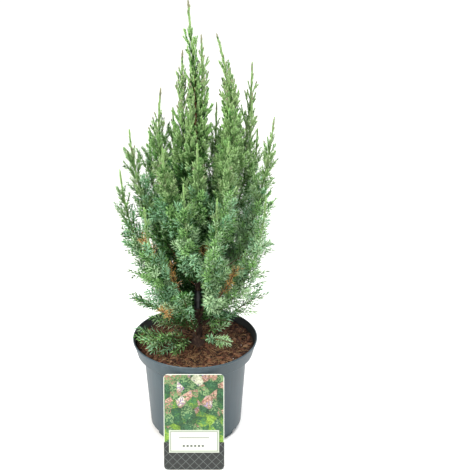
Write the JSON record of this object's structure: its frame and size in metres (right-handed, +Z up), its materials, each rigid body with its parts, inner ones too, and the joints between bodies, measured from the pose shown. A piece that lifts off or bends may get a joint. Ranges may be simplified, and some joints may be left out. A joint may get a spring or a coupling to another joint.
{
  "type": "potted chinese juniper",
  "caption": "Young upright juniper in a round grey nursery pot, with a plant label leaning on the pot.",
  "frame": {"origin": "centre of the pot's flat underside", "axes": "+Z up along the trunk, +X to the plant's right, -Y to its front, where the label leans"},
  "size_m": [0.2414, 0.2511, 0.6824],
  "materials": {
    "pot_plastic": "satin moulded polypropylene",
    "potting_mix": "rough bark chips and peat",
    "bark": "flaking bark",
    "adult_foliage": "matt scale leaves",
    "juvenile_foliage": "matt blue-green needles",
    "label_card": "printed plastic card",
    "tie_plastic": "satin black plastic"
  },
  "bodies": {
    "root": {"bough_inner_back_left": "bark", "bough_inner_back_right": "bark", "bough_inner_front": "bark", "bough_inner_front_left": "bark", "bough_inner_front_right": "bark", "bough_inner_left": "bark", "bough_inner_right": "bark", "bough_outer_back": "bark", "bough_outer_back_left": "bark", "bough_outer_back_right": "bark", "bough_outer_far_left": "bark", "bough_outer_front": "bark", "bough_outer_left": "bark", "bough_outer_near_front": "bark", "bough_outer_near_left": "bark", "bough_outer_near_right": "bark", "bough_outer_right": "bark", "bough_upper_back_right": "bark", "bough_upper_left": "bark", "bough_upper_right": "bark", "foliage_crown_back": "adult_foliage", "foliage_crown_front": "adult_foliage", "foliage_crown_left": "adult_foliage", "foliage_crown_right": "adult_foliage", "foliage_inner_back_left": "adult_foliage", "foliage_inner_back_right": "adult_foliage", "foliage_inner_front": "adult_foliage", "foliage_inner_front_left": "adult_foliage", "foliage_inner_front_right": "adult_foliage", "foliage_inner_left": "adult_foliage", "foliage_inner_right": "adult_foliage", "foliage_leader": "adult_foliage", "foliage_low_back_left": "juvenile_foliage", "foliage_low_back_right": "juvenile_foliage", "foliage_low_centre": "juvenile_foliage", "foliage_low_far_left": "juvenile_foliage", "foliage_low_front": "juvenile_foliage", "foliage_low_front_right": "juvenile_foliage", "foliage_low_left": "juvenile_foliage", "foliage_low_near_left": "juvenile_foliage", "foliage_low_right": "juvenile_foliage", "foliage_outer_back": "adult_foliage", "foliage_outer_back_left": "adult_foliage", "foliage_outer_back_right": "adult_foliage", "foliage_outer_far_left": "adult_foliage", "foliage_outer_front": "adult_foliage", "foliage_outer_left": "adult_foliage", "foliage_outer_near_front": "adult_foliage", "foliage_outer_near_left": "adult_foliage", "foliage_outer_near_right": "adult_foliage", "foliage_outer_right": "adult_foliage", "foliage_upper_back_right": "adult_foliage", "foliage_upper_left": "adult_foliage", "foliage_upper_right": "adult_foliage", "plant_label": "label_card", "pot": "pot_plastic", "potting_mix": "potting_mix", "stem_tie": "tie_plastic", "trunk": "bark"}
  },
  "joints": []
}
